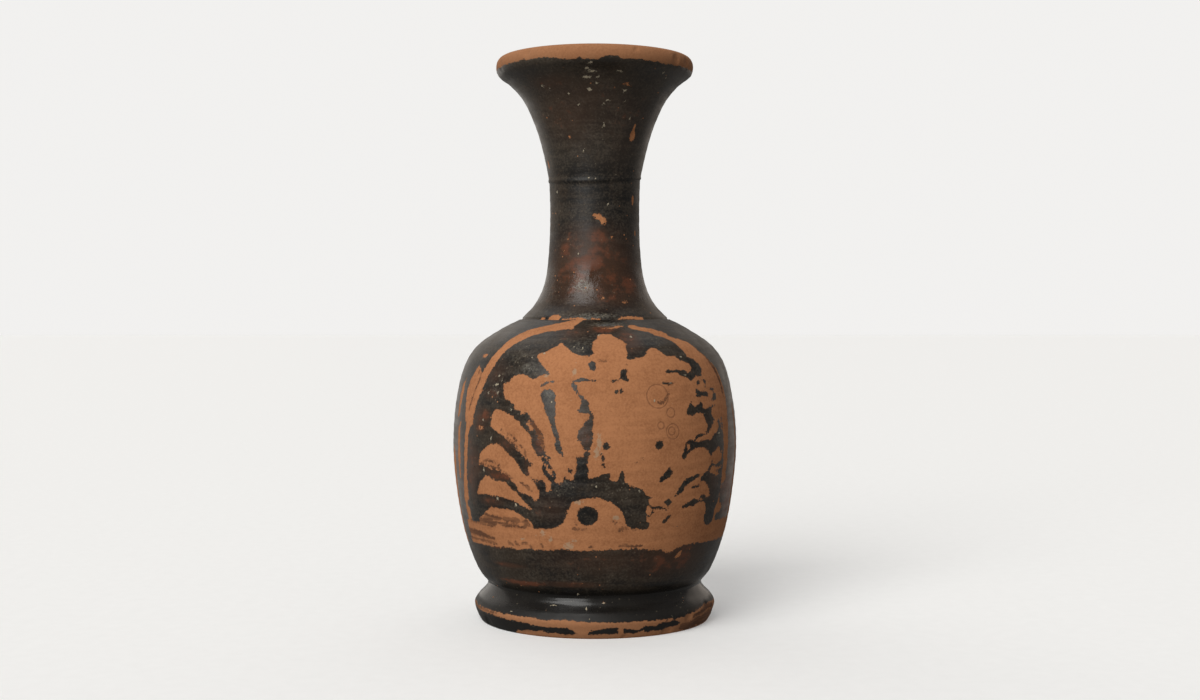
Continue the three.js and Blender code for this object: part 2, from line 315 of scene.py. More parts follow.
# Bare clay, then the slip that lies in it, then what is bare again inside that slip.
BARE = [
    # the left frame line, and the broken band outside it
    [(-43.6, 31), (-44, 37), (-43.2, 41), (-41.8, 45), (-41.4, 50), (-41, 54), (-40.4, 57), (-40.2, 60),
     (-38.9, 65), (-37, 68), (-36.2, 70), (-35.2, 72), (-33.9, 75), (-32.6, 78), (-31.8, 81),
     (-30.4, 83.4), (-28, 85.4), (-24.5, 86.8), (-20, 88.3), (-15, 89.8), (-11, 91.2), (-8.5, 92.3),
     (-5.2, 92), (-6.4, 90), (-8.4, 88), (-8.9, 87.2), (-8.2, 86.3), (-12.5, 85.9), (-15, 85.2),
     (-18.5, 84.8), (-21.5, 83.6), (-24.6, 82), (-26.2, 80.3), (-28.2, 78.6), (-29.2, 77), (-30.2, 75.2),
     (-31.4, 72.2), (-32.6, 70), (-33.9, 67), (-35.2, 64), (-36.5, 61), (-37, 58.5), (-36.9, 56.6),
     (-38.6, 55.6), (-39.3, 52), (-39.8, 48), (-40.6, 42), (-41, 38), (-41.4, 31)],
    [(-41.2, 57), (-42.2, 61), (-43, 65), (-42, 68), (-40.5, 70.5), (-39.2, 72), (-37.4, 71.2),
     (-36.4, 69.6), (-37.2, 66.5), (-38.6, 63), (-39.6, 60.2), (-40.2, 57.4)],
    [(-40.3, 75.2), (-37, 75.4), (-37.4, 74.4), (-39.2, 74)],
    [(-48.2, 58), (-47.9, 66), (-45.6, 68.4), (-45.8, 63), (-46.8, 58)],
    [(-46.4, 42), (-46.4, 55), (-44.8, 57), (-44.6, 48), (-45.2, 42)],
    [(-54.5, 24), (-54.6, 45), (-51.4, 51), (-49.6, 47), (-50.4, 38), (-50.8, 24)],
    # the four lower petals on the left, from the bottom up
    [(-36.4, 32.2), (-34.2, 33.4), (-32.2, 34.8), (-30, 35.8), (-27, 35.7), (-24, 35.6), (-21.8, 35.4),
     (-19.5, 34.2), (-17.8, 33.4), (-17, 32.6), (-16.4, 31), (-36.4, 31)],
    [(-35.8, 38.9), (-35, 40), (-34.6, 41), (-33.8, 42), (-32.4, 42.9), (-31.4, 43.8), (-30.3, 43.9),
     (-29, 43.2), (-27, 42.8), (-25.6, 42.9), (-24.3, 42.6), (-23.4, 42), (-22.6, 41.2), (-21.2, 40.4),
     (-20.2, 39.8), (-18.8, 38.4), (-17.6, 37.4), (-16.4, 36.2), (-16, 35.6), (-16.9, 35.8), (-19, 36.8),
     (-21, 37.7), (-23.5, 38.5), (-26, 38.8), (-28.5, 39), (-30.5, 39.1), (-33, 38.9)],
    [(-34, 46.8), (-33.4, 48.5), (-32.6, 49.8), (-31.2, 50.8), (-29.8, 51.8), (-28, 52.1), (-26.5, 52.1),
     (-25.2, 51.8), (-24, 50.6), (-22.2, 49.4), (-20.6, 48.3), (-19.6, 46.8), (-18.7, 45.4),
     (-17.7, 44.7), (-16.8, 44.4), (-15.8, 43.4), (-15.2, 43), (-15, 42.2), (-14.4, 41.4), (-14.1, 40.2),
     (-14.6, 39), (-15.8, 38.1), (-16.4, 39.3), (-18, 40), (-19.4, 40.2), (-20.3, 41), (-21, 42.3),
     (-22.2, 43.3), (-24.2, 44.7), (-25.6, 45.2), (-28, 45.8), (-30.5, 46.1)],
    [(-29.6, 56.8), (-29.2, 57.6), (-28.9, 59), (-28.4, 60.2), (-27.2, 60.8), (-26, 60.8), (-24.6, 60.4),
     (-23.4, 59.8), (-22.2, 59.4), (-21, 58.7), (-19.9, 58.2), (-19.3, 57.2), (-18.4, 56.2),
     (-17.2, 55.3), (-16.3, 54.6), (-16, 53.4), (-16.4, 52.6), (-15.3, 51.4), (-14.8, 50.2),
     (-13.9, 49.3), (-13.3, 48.4), (-12.9, 47.2), (-13, 45.6), (-14.2, 44), (-15.4, 43.2), (-16.6, 44.2),
     (-17, 46), (-17.3, 47), (-18.2, 49), (-19.2, 50.4), (-20.6, 51.6), (-22.6, 52.8), (-23.6, 53.6),
     (-25, 54.6), (-27, 55.4), (-28.8, 56.1)],
    # the rest of the fan: its ragged top edge, closed through the bare middle
    [(-6.5, 43), (-8, 43), (-9, 43.8), (-9.6, 45), (-10.3, 46.4), (-11, 47.7), (-11.2, 49), (-12.2, 50),
     (-12.3, 51.2), (-12.6, 53), (-13.2, 54.6), (-14.4, 56), (-15.4, 57.6), (-16.4, 58.8), (-17.5, 60.2),
     (-18.4, 60.6), (-18.6, 59.9), (-19.5, 59.8), (-19.6, 60.5), (-20.2, 61), (-21.4, 61), (-21.6, 62),
     (-22.4, 62.6), (-23.6, 63.2), (-25.2, 63.7), (-25.6, 65.5), (-26, 67.3), (-25, 67.9), (-24.4, 67.2),
     (-23.8, 68.6), (-22.8, 69.4), (-21.4, 70.2), (-20, 69.8), (-18.4, 69.6), (-16.8, 68.8), (-16, 68.9),
     (-15, 69.6), (-13.6, 70), (-12.4, 70.2), (-13, 71), (-14.2, 72), (-15.4, 73.2), (-16.2, 74.2),
     (-17, 75), (-16.4, 76), (-14.6, 76.2), (-13.6, 77), (-12.4, 77.9), (-11.6, 78.5), (-10.9, 79.6),
     (-10.2, 79.4), (-9, 78.3), (-7.8, 77.6), (-6.8, 76.6), (-5.4, 75.9), (-3.8, 75.2), (-1.4, 75),
     (0.1, 76), (-0.6, 77.2), (-0.6, 79.4), (0, 80.6), (1, 81.6), (1.2, 83.2), (2.6, 83.6), (4.4, 83.4),
     (6, 83.4), (6.4, 82.6), (7.6, 81.6), (9, 80.6), (9.9, 79), (9.6, 77.6), (9.7, 76), (9.4, 74.3),
     (10.4, 74.2), (12, 74.4), (14, 74.8), (15.2, 75.6), (16.2, 76.8), (17.6, 77.6), (19, 77.5),
     (20.2, 76.8), (21.4, 75.6), (22.6, 74.9), (24.2, 75), (29.8, 74.6), (34, 71.6), (38, 66), (38, 31),
     (12, 31), (10, 40), (-4, 43)],
    # the clay round the crossed strokes left of it
    [(-14, 49), (-12.8, 49.6), (-11.4, 49.6), (-10, 47.4), (-9, 45), (-8.4, 43), (-10.4, 40.6),
     (-12.6, 40.6), (-14.6, 44), (-13.6, 46)],
    # the right frame line and the bare ground that runs into it
    [(14.2, 87), (14.6, 88), (17, 88), (19, 87.2), (21.5, 86.6), (25, 85.8), (27, 84.7), (28.8, 83.6),
     (28.2, 82.4), (30, 81.6), (33, 80.6), (34.8, 79.6), (36.5, 77.5), (38.4, 75), (40.4, 73.2),
     (42.5, 71.5), (44, 68), (44.8, 63), (44.2, 55), (43.4, 46), (42.9, 42), (41, 41), (40.2, 38.6),
     (40.4, 36.6), (42.2, 35.6), (43, 34.6), (41.8, 33.6), (39.6, 33.2), (39, 31), (34, 31), (34, 71),
     (29.9, 74.9), (29.1, 77.2), (28.3, 79.2), (27, 80.8), (25, 82.2), (23, 82.9), (21, 84.5),
     (18.5, 85.2), (16, 85.9)],
    [(3.4, 86.5), (7.4, 86.9), (9, 87.7), (12, 87.9), (12.2, 87.3), (9.6, 86.9), (7.4, 86.3), (5, 86.1)],
    [(51, 27), (50.8, 38), (51.2, 46), (51, 53), (50.2, 61), (51.2, 61.4), (52.6, 54), (53.6, 46),
     (54.6, 27)],
    # chips along the crease under the neck
    [(-25.6, 91.6), (-24, 93), (-20, 93.5), (-17.6, 92.6), (-19, 91.6)],
    [(-31.4, 91.4), (-29.6, 92.5), (-27.6, 92.2), (-28.6, 91.4)],
    [(11.6, 91.9), (14, 92.6), (20, 92.8), (26.8, 92.3), (27.2, 91.7), (20, 92)],
    # under the arch
    [(-10, 30), (-8.6, 35), (-5.5, 39.4), (0, 40.6), (5, 39.2), (8.4, 35), (10.4, 30)],
]
INKED = [
    # the arch over the heart, with what spikes up from it
    [(-18.2, 34.4), (-17.2, 33.2), (-16.5, 31.8), (-15.6, 31.3), (-13, 31.2), (-12.2, 31.8),
     (-11.6, 31.3), (-10, 31.8), (-8.8, 32.4), (-7.9, 33.4), (-7.4, 34.8), (-6.8, 36.2), (-6.2, 37.4),
     (-5.4, 38.4), (-4.2, 38.9), (-2, 39.3), (0.4, 39.5), (1.6, 39.5), (2.4, 38.9), (4, 38.5),
     (5.2, 37.6), (6.3, 36.8), (7.2, 35.8), (7.8, 34.2), (8.3, 32.8), (9.2, 32.1), (10.8, 31.9),
     (11.6, 31.3), (13.2, 31.1), (14.6, 31.3), (14.9, 32.4), (14, 33.4), (13.8, 34.4), (13.6, 35.6),
     (13.8, 36.8), (14.4, 37.6), (14.1, 38.6), (15.1, 39.4), (14.4, 39.5), (13, 40.2), (12.6, 41),
     (11.8, 41.6), (10.4, 42), (9, 42.6), (7.6, 43.4), (7.5, 44.6), (7.2, 46.2), (6.8, 46), (6.2, 44.8),
     (5.8, 43.7), (4.4, 43.7), (3.9, 44.2), (3.9, 45.4), (2.8, 45.7), (1.8, 45.5), (1, 44.8),
     (-0.4, 44.5), (-1.4, 44.4), (-1.4, 46), (-1.7, 47.6), (-1.5, 49.6), (-1, 50), (-1.2, 51),
     (-2.2, 51.2), (-2.6, 49.6), (-3.6, 49.8), (-4.6, 49.4), (-4.3, 48), (-4.6, 46.6), (-5, 45),
     (-5.2, 44), (-6.4, 43.9), (-7, 44.2), (-7.2, 44.9), (-7.8, 44.8), (-7.7, 43.6), (-8.4, 42.9),
     (-9.2, 43), (-10, 43.6), (-10.6, 44.4), (-11, 42.6), (-10.8, 41.4), (-11.6, 40.8), (-12.4, 41),
     (-12.3, 42.2), (-12.8, 43.4), (-13.6, 44), (-14.6, 43.6), (-15, 42.8), (-14.6, 41.8), (-14.2, 41),
     (-13.9, 40), (-14.6, 38.8), (-15.6, 38.2), (-16.6, 38), (-16, 37), (-16.2, 36.2), (-17.4, 35.6)],
    # the slit in the fan, and the broken stroke right of it
    [(-14, 65.6), (-13, 66.3), (-11, 66.2), (-10.2, 65), (-9.9, 63), (-9.9, 60), (-9.8, 57.4), (-9, 55.4),
     (-8.6, 54), (-8.3, 52.6), (-8.1, 51.2), (-7.4, 48.9), (-8.3, 50), (-9.2, 51.1), (-9.9, 52.4),
     (-9.6, 53.4), (-10.1, 54.6), (-10.7, 56.4), (-11.3, 58.2), (-12.2, 60.2), (-13.2, 62.4),
     (-14.2, 64.6)],
    [(-3.4, 64.4), (-2.4, 63.8), (-1.4, 63.2), (-1.2, 61.6), (-0.3, 60), (-0.1, 59), (-0.2, 57.6),
     (-0.6, 56.6), (-0.2, 55.6), (-0.4, 53.6), (-1, 52), (-1.6, 50.4), (-2.4, 51.6), (-3.2, 52.8),
     (-4, 53.8), (-3.9, 56.2), (-3.2, 56.8), (-2.4, 57), (-2.8, 58), (-2, 58.8), (-1, 59.2), (-1.4, 60.4),
     (-3.4, 60.4), (-4.2, 61.2), (-3.6, 62), (-3.4, 63)],
    # the hook under the right-hand end of the dark field
    [(24.8, 75.2), (27, 75.4), (29.6, 74.9), (31.6, 74), (33.4, 72.8), (34.4, 71), (33.6, 69.8),
     (32.4, 69.2), (30.8, 69.3), (29.4, 68.4), (28.4, 68.3), (27, 69), (25.4, 69.4), (24.4, 70),
     (23.2, 70.4), (20.2, 70.3), (20.6, 71), (22.8, 71.2), (26.6, 71.1), (28, 70.2), (29.4, 70.4),
     (29.8, 71.6), (29.2, 72.8), (28, 73.3), (26.3, 73.7)],
    [(17.6, 67.8), (20.2, 68), (23, 67.9), (21.6, 67.3), (20.4, 67.2), (19.4, 67.5)],
    [(6.6, 68.8), (6.8, 70), (7.4, 71.2), (8.2, 71.6), (9.2, 71.4), (9, 70.4), (8.6, 69.6), (9.3, 68.6),
     (8.6, 68.2), (7.8, 68.7)],
    [(-1.8, 73.2), (-0.6, 73.9), (0.4, 73.2), (0.5, 71.9), (-0.2, 71), (-0.8, 71.4), (-1.4, 72)],
    # what is left of the fan's right side, from the top down
    [(32.6, 68.2), (34, 68.5), (35.3, 68), (34.4, 67), (33.8, 66.2), (33.9, 67.3)],
    [(29.6, 66.3), (31, 65.6), (32.6, 65.1), (34.4, 65.2), (35, 64.6), (34.4, 63.8), (32, 64),
     (30.4, 63.8), (29, 63.9), (29.7, 64.6)],
    [(35.4, 62.8), (36.6, 63.6), (37.6, 64.9), (38.6, 64.4), (38.4, 63), (37, 62.6)],
    [(25.4, 59.8), (26.4, 59.3), (28, 59.5), (29.8, 59.9), (31.3, 59.6), (32.1, 58.5), (32.7, 57),
     (32.9, 55.6), (32.2, 54.8), (30.8, 54.6), (29.2, 54.6), (28.2, 54.1), (27.6, 53.1), (28.2, 52.9),
     (29.2, 53.7), (31, 53.9), (32.2, 54.1), (33.4, 54.8), (34.4, 55.6), (35.2, 56.8), (36.4, 57.8),
     (35.4, 58.8), (35, 60), (35.8, 60.8), (38, 61.9), (36, 61.4), (34, 61), (32, 60.9), (31.6, 61.2),
     (32, 62), (31, 62.6), (29.8, 61.8), (28.6, 61.5), (27.6, 62), (27.6, 62.9), (26.8, 62.4),
     (26.4, 61.6), (25.6, 60.8)],
    [(23, 49), (24.2, 48.3), (24.8, 49), (25, 49.8), (26, 49.8), (27.4, 50.8), (29, 51.1), (31, 51),
     (32.6, 50.4), (33.8, 49), (34.4, 48.3), (34.8, 49.2), (36, 50), (37.6, 50.8), (38.6, 50.4),
     (39.2, 49), (39.8, 50), (40, 54), (39.2, 56.6), (38.4, 57.8), (37.6, 57.4), (38.4, 56), (37.4, 55),
     (35.6, 54.2), (34.4, 53), (32, 52.8), (30.2, 52.8), (28.4, 52.4), (27.4, 53), (26.2, 53.4),
     (25, 52.9), (24.4, 52.4), (24.8, 51.4), (24, 51), (24.2, 50.2)],
    [(30.4, 42.2), (31.4, 42.6), (32.6, 41.8), (33.6, 41), (34.4, 39.8), (34.8, 38.6), (34, 38),
     (33.2, 38.2), (32.6, 37.4), (33.2, 36.2), (33.8, 34.8), (33.7, 33.4), (33.3, 32.6), (34, 31.2),
     (35.4, 30.4), (36.6, 30.5), (38, 31.2), (38.6, 32.6), (38.4, 34), (38.8, 35.4), (39.8, 36.6),
     (40.4, 39), (40.6, 41.8), (39.4, 43.6), (36.6, 43.4), (35, 44.2), (33.6, 44.4), (33.4, 44.9),
     (32, 44.5), (30.8, 43.8), (30.2, 43)],
    [(21.6, 39), (23, 39.6), (24.2, 40), (25, 41.6), (26.4, 42.2), (28, 42.9), (30, 44), (29.8, 44.4),
     (28, 44.2), (26.4, 43.8), (24.6, 43), (23, 41.4), (22.4, 40.2)],
    [(24.2, 36.1), (26, 36), (27, 36.4), (27.6, 36), (29, 36.4), (30.4, 37.2), (33, 37.2), (33, 37.7),
     (30, 37.8), (28.2, 38.2), (27, 37.5), (25.6, 37)],
    [(30.4, 38.2), (31.2, 38.9), (32.2, 39.1), (33.2, 38.2), (34.2, 37.6), (33, 37.4), (31.8, 38)],
    [(18.1, 37.8), (19, 38.4), (19.8, 38.9), (20.4, 38.2), (21, 37.8), (20.3, 37.2), (19.9, 36.7),
     (19.2, 37.3)],
    [(18.5, 32.7), (19.3, 32.5), (20.4, 33.4), (21, 34.3), (20.4, 34.5), (19.2, 33.6)],
    [(16.8, 43.4), (17.2, 42.8), (18.6, 43.4), (20, 44.3), (20.9, 45.7), (20.2, 45.8), (19.8, 46.8),
     (19, 46.1), (18, 45), (17, 44.3)],
    [(15.5, 52.3), (15.8, 53.2), (16.6, 53.7), (17.5, 53.2), (17.8, 52.3), (17.4, 51.5), (16.5, 51.2),
     (15.7, 51.6)],
    [(2.1, 54.8), (2.9, 53.8), (4, 52.2), (3.2, 51.4), (2.2, 51), (2.1, 52.4), (2.5, 53.4)],
    [(1.5, 50.4), (2.4, 50), (2.7, 49.2), (2.2, 48.4), (1.7, 49.2)],
]
BRUSHED = [
    [(-41.6, 35.6, 0.8), (-39.4, 34.2, 1.5), (-38.8, 33.2, 1)],
    [(-35.4, 38.2, 0.6), (-34, 37.2, 1.4), (-30, 37.4, 1.3), (-26, 37.1, 1.2), (-22, 36.5, 1),
     (-18.4, 35.2, 1), (-16.5, 34.4, 1.6)],
    [(-33, 45.6, 1), (-31, 45.2, 0.95), (-28.4, 44.5, 0.85), (-25.6, 43.9, 0.8), (-23.4, 43, 0.75),
     (-22, 41.9, 0.75), (-20.9, 40.7, 0.5), (-19.6, 39.6, 0.5), (-18, 38.7, 0.8), (-16, 37.2, 1.1)],
    [(-18.4, 48.6, 0.7), (-17.4, 48.1, 0.45), (-16.2, 47.4, 0.45)],
    [(-16.6, 44.3, 0.3), (-15.4, 43.4, 0.3)],
    [(-13.2, 49.4, 0.5), (-12.4, 48.4, 0.5), (-11.5, 47.4, 0.4), (-10.6, 46.2, 0.35), (-9.8, 44.6, 0.35),
     (-10.6, 43.6, 0.5)],
    [(-12.9, 47.6, 0.5), (-12.6, 46, 0.6), (-11.6, 44.8, 0.6), (-10.6, 43.6, 0.7)],
    [(-11.4, 49.2, 0.35), (-11.6, 48, 0.3)], [(-14.2, 67.2, 0.3), (-12.6, 67.9, 0.35), (-11, 68.1, 0.3)],
    [(-5.6, 68.4, 0.35), (-3.6, 68.75, 0.42), (-1.9, 68.7, 0.3), (0.4, 68.6, 0.25)],
    [(-5.6, 67.6, 0.5), (-5, 66.6, 0.6), (-4.4, 65.6, 0.4), (-3.4, 64.4, 0.35), (-2.8, 63.4, 0.5)],
    [(4.4, 68.4, 0.25), (6.6, 68.7, 0.3)], [(5.6, 65.7, 0.4), (6.2, 66, 0.4)],
    [(7, 66.2, 0.45), (7.1, 65.6, 0.5)], [(2.3, 47.8, 0.3), (2.7, 47.2, 0.25)],
    [(-6.2, 46.5, 0.35), (-5.6, 45.9, 0.35)], [(30.8, 67.3, 0.3), (31.4, 67.6, 0.45)],
    [(36.2, 65.7, 0.3), (37.6, 65.6, 0.3)], [(27.6, 41.2, 0.3), (29.8, 41.4, 0.35)],
    [(33.8, 45.2, 0.5), (34.8, 46.6, 0.4), (36.2, 46, 0.3), (38.6, 46.3, 0.7), (40.2, 46.8, 0.8)],
    [(34.8, 47.3, 0.35), (34.8, 46.4, 0.35)], [(37.6, 44.6, 0.5), (39.2, 44.4, 0.9)],
    [(40, 58, 0.3), (40.3, 52, 0.5), (40.2, 47, 0.4), (40, 43, 0.6)],
    [(14, 34.5, 0.3), (15, 35, 0.35), (15.6, 35.6, 0.35), (15.1, 36.2, 0.3)],
    [(14.2, 37.2, 0.3), (15.2, 36.8, 0.3), (17, 36.6, 0.35), (18.6, 36.2, 0.3), (20, 36, 0.25)],
]
BARE_AGAIN = [
    [(25.4, 50.8), (25.2, 52), (26.2, 52.4), (26.2, 51)],
    [(-17.7, 57.6), (-17, 58.2), (-15.9, 57.8), (-15.8, 56), (-16.6, 55.9), (-17, 57)],
    [(-35, 55.6), (-33.6, 56.4), (-32, 56.2), (-32.4, 55.4)],
    [(-16.4, 59.4), (-14.8, 57.2), (-13.4, 55), (-12.7, 53), (-12.2, 51.2), (-13, 51.4), (-14, 53.6),
     (-15, 55.4), (-15.8, 57.6)],
    [(24, 22.6), (25.2, 23.9), (26.8, 24.4), (26.4, 23), (25, 22.4)],
    [(-17, 91.85), (-9, 91.95), (3, 91.95), (3, 92.05), (-9, 92.05), (-17, 91.95)],
]
HEART_DOT = (-1.7, 34.95, 2.75, 2.5)

# The bare ground band under the palmette: its lower and upper edge, and its two ends.
BAND_FOOT = [
    (-60, 24), (-50, 24.1), (-44, 24.9), (-38, 25.1), (-32, 25.1), (-26, 25.5), (-22.8, 25.2),
    (-20, 25.6), (-17, 25.5), (-14.6, 25.9), (-13.6, 25.5), (-11, 25.9), (-9.4, 26), (-8, 26.1),
    (-2, 25.7), (0, 25.95), (5, 26.1), (10, 26.2), (15, 25.8), (19, 25.5), (21, 24.8), (22.5, 24.3),
    (24, 25.2), (26, 25.8), (30, 26.15), (48, 25.6), (60, 25.4),
]
BAND_TOP = [(-60, 31), (-40, 31.1), (-20, 31), (-12, 31.6), (0, 31.8), (12, 31.4), (60, 31.3)]
BAND_ENDS = (-45, 57)

# Strokes of slip that is rubbed thin and brown on the bare clay.
BROWNED = [
    [(-60, 4.8, 0.6), (-45, 4.8, 0.5), (-37, 4.8, 0.4), (-34, 4.8, 0.2)],
    [(-37.6, 31.6, 0.5), (-34, 32, 1), (-31.4, 32.3, 1.1)],
    [(30, 1.6, 1), (34, 1.4, 1.3), (40, 1.8, 1.6), (48, 2.2, 1.8), (54, 2.4, 1.6)],
    [(35, 4, 0.4), (39, 4.4, 0.7), (44, 5.2, 0.9), (50, 5, 0.8)],
    [(-33.4, 33.6, 0.5), (-31, 33.2, 0.6), (-28, 33.4, 0.35), (-24, 33.2, 0.4), (-22.4, 32.6, 0.3)],
    [(-32.4, 31.9, 0.9), (-30, 31.6, 0.7), (-28.4, 31.9, 0.3), (-26, 31.6, 0.6), (-23, 31.6, 0.55),
     (-20, 31.4, 0.45), (-18, 31.9, 0.5), (-17, 31.8, 0.3)],
    [(-42, 31.2, 0.5), (-37, 31.2, 0.6), (-33, 30.9, 0.35), (-29.6, 30.8, 0.25)],
    [(-45, 28.2, 0.8), (-38, 28, 0.8), (-34, 27.6, 0.6), (-31, 27.2, 0.45)],
    [(-45, 26.2, 0.5), (-38, 26.3, 0.4), (-34, 26.3, 0.45), (-30.4, 26.1, 0.5)],
    [(-29.4, 33, 0.4), (-28.2, 33, 0.8), (-27.2, 33.2, 0.5)],
    [(-26.3, 33.1, 0.4), (-25, 32.9, 0.85), (-24.3, 33, 0.4)],
    [(-23.3, 33, 0.5), (-21.8, 32.9, 0.85), (-20.6, 32.8, 0.4)],
    [(-19.6, 32.9, 0.4), (-18.4, 32.8, 0.75)], [(-25.2, 26.8, 0.5), (-24.2, 26.5, 0.4)],
    [(-22.8, 27.3, 0.45), (-22.2, 26.4, 0.45)], [(-20.6, 27.1, 0.45), (-19.2, 27.2, 0.4)],
    [(-18, 26.5, 0.45), (-17.4, 26.1, 0.3)], [(-14.8, 27.2, 0.4), (-14.4, 26.2, 0.25)],
    [(6.8, 26.9, 0.35), (8, 27.2, 0.3), (10, 26.8, 0.35), (13, 26.9, 0.35)],
    [(-1, 26.8, 0.35), (0, 27.1, 0.25)], [(-5.5, 31.8, 0.35), (-4, 31.5, 0.35), (-2, 31.4, 0.3)],
    [(-5, 33.2, 0.3), (-4.6, 32.8, 0.3)], [(6.6, 31.2, 0.4), (7.6, 31.6, 0.5), (8.6, 31.7, 0.4)],
    [(4.6, 33.4, 0.3), (5.6, 33.3, 0.35), (5.2, 32.6, 0.25)], [(10.2, 31.5, 0.4), (12, 31.3, 0.3)],
    [(-32, 47.4, 0.35), (-30, 47.8, 0.35), (-27.2, 47.5, 0.25)],
    [(-34, 46.7, 0.4), (-30, 46.5, 0.35), (-27, 46.1, 0.3), (-25, 45.3, 0.35)],
    [(-26.2, 46.8, 0.3), (-25.6, 46, 0.3)], [(-24.6, 45, 0.3), (-23.2, 44.4, 0.3), (-21.6, 43.6, 0.3)],
    [(-19.3, 42.9, 0.4), (-17.8, 42, 0.45), (-16.4, 40.8, 0.35)],
    [(-23, 55, 0.3), (-21.4, 54.4, 0.35), (-20.6, 53.2, 0.3)], [(-25.6, 55.9, 0.35), (-25, 55.4, 0.3)],
    [(-23.4, 53.8, 0.4), (-21.4, 52.4, 0.4), (-20.4, 51.8, 0.3)],
    [(-19.2, 52.1, 0.35), (-18.6, 51.6, 0.3)], [(-18, 51, 0.3), (-17.8, 49.4, 0.3)],
    [(-17.6, 59.8, 0.5), (-15.8, 57.6, 0.6), (-14.4, 55.4, 0.9), (-13.4, 53, 0.9), (-12.8, 51.4, 0.5)],
    [(1.4, 73.8, 0.4), (2.4, 73.8, 0.5), (3.4, 73.7, 0.35)], [(8.7, 72.7, 0.25), (9, 72.7, 0.25)],
    [(11.9, 49.2, 0.25), (12.8, 49, 0.25)], [(10.6, 48.2, 0.3), (11.3, 48.1, 0.25)],
    [(19.8, 64.8, 0.25), (20.4, 65.4, 0.3), (18.4, 63, 0.35), (17, 62.8, 0.3)],
    [(36.6, 77.4, 0.3), (39.4, 74.2, 0.6), (41.6, 70.8, 0.7), (42.9, 67, 0.5), (43.6, 63, 0.3)],
    [(-39.8, 60.2, 0.35), (-38.4, 64, 0.4), (-37.2, 67, 0.4), (-36.6, 69.4, 0.4), (-38, 70.2, 0.4)],
]

# Faint ring marks on the clay: a place across and up, and a radius.
RINGS = [(17, 64.4, 3), (20.5, 60.2, 1.2), (20.8, 55.5, 1.9), (20.5, 55.6, 1),
         (17.4, 57.1, 0.9)]


def near(place, reach):
    """Which painted points could be touched by a shape round that place."""
    low, high = np.min(place, axis=0) - reach, np.max(place, axis=0) + reach
    inside_box = (across > low[0]) & (across < high[0]) & (up > low[1]) & (up < high[1])
    return np.nonzero(inside_box & ~on_strap)[0]


def from_line(spot, a, b):
    """How far spots lie from the straight line between two places, and how far along it."""
    step = b - a
    share = np.clip((spot - a) @ step / max(step @ step, 1e-9), 0, 1)
    return np.hypot(*(spot - a - share[:, None] * step).T), share


def from_brush(stroke):
    """How far each point lies outside a brush stroke, in mm, and less than 0 inside it."""
    row = curve_through(stroke, BRUSH_STEPS)
    which = near(row[:, :2], REACH + row[:, 2].max())
    spot = np.c_[across[which], up[which]]
    out = np.full(len(across), REACH)
    for a, b in zip(row, row[1:]):
        gap, share = from_line(spot, a[:2], b[:2])
        out[which] = np.minimum(out[which], gap - a[2] - share * (b[2] - a[2]))
    return out


def from_outline(outline):
    """The same as from_brush for a closed outline."""
    corners = np.array(outline, float)
    which = near(corners, REACH)
    spot = np.c_[across[which], up[which]]
    edge = np.full(len(which), REACH)
    within = np.zeros(len(which), bool)
    for a, b in zip(corners, np.roll(corners, -1, axis=0)):
        edge = np.minimum(edge, from_line(spot, a, b)[0])
        crosses = (a[1] > spot[:, 1]) != (b[1] > spot[:, 1])
        slope = (b[0] - a[0]) / (b[1] - a[1]) if a[1] != b[1] else 0.0
        within ^= crosses & (spot[:, 0] < a[0] + (spot[:, 1] - a[1]) * slope)
    out = np.full(len(across), REACH)
    out[which] = np.where(within, -edge, edge)
    return out


def share_of_oval(centre_across, centre_up, half_across, half_up):
    """How far out each point is in an oval spot, which is 1 at its edge."""
    return np.hypot((across - centre_across) / half_across, (up - centre_up) / half_up)


def from_oval(*oval):
    """The same as from_outline for an oval spot."""
    return np.clip((share_of_oval(*oval) - 1) * min(oval[2:]), -REACH, REACH)


band = np.maximum(np.interp(across, *np.transpose(BAND_FOOT)) - up,
                  up - np.interp(across, *np.transpose(BAND_TOP)))
band = np.maximum(band, np.maximum(BAND_ENDS[0] - across, across - BAND_ENDS[1]))
slip = np.clip(band, -REACH, REACH)
for outline in BARE:
    slip = np.minimum(slip, from_outline(outline))
for outline in INKED:
    slip = np.maximum(slip, -from_outline(outline))
for stroke in BRUSHED:
    slip = np.maximum(slip, -from_brush(stroke))
slip = np.maximum(slip, -from_oval(*HEART_DOT))
for outline in BARE_AGAIN:
    slip = np.minimum(slip, from_outline(outline))
slip[on_strap] = REACH

brown = np.full(len(points), -REACH)
for stroke in BROWNED:
    brown = np.maximum(brown, -from_brush(stroke))


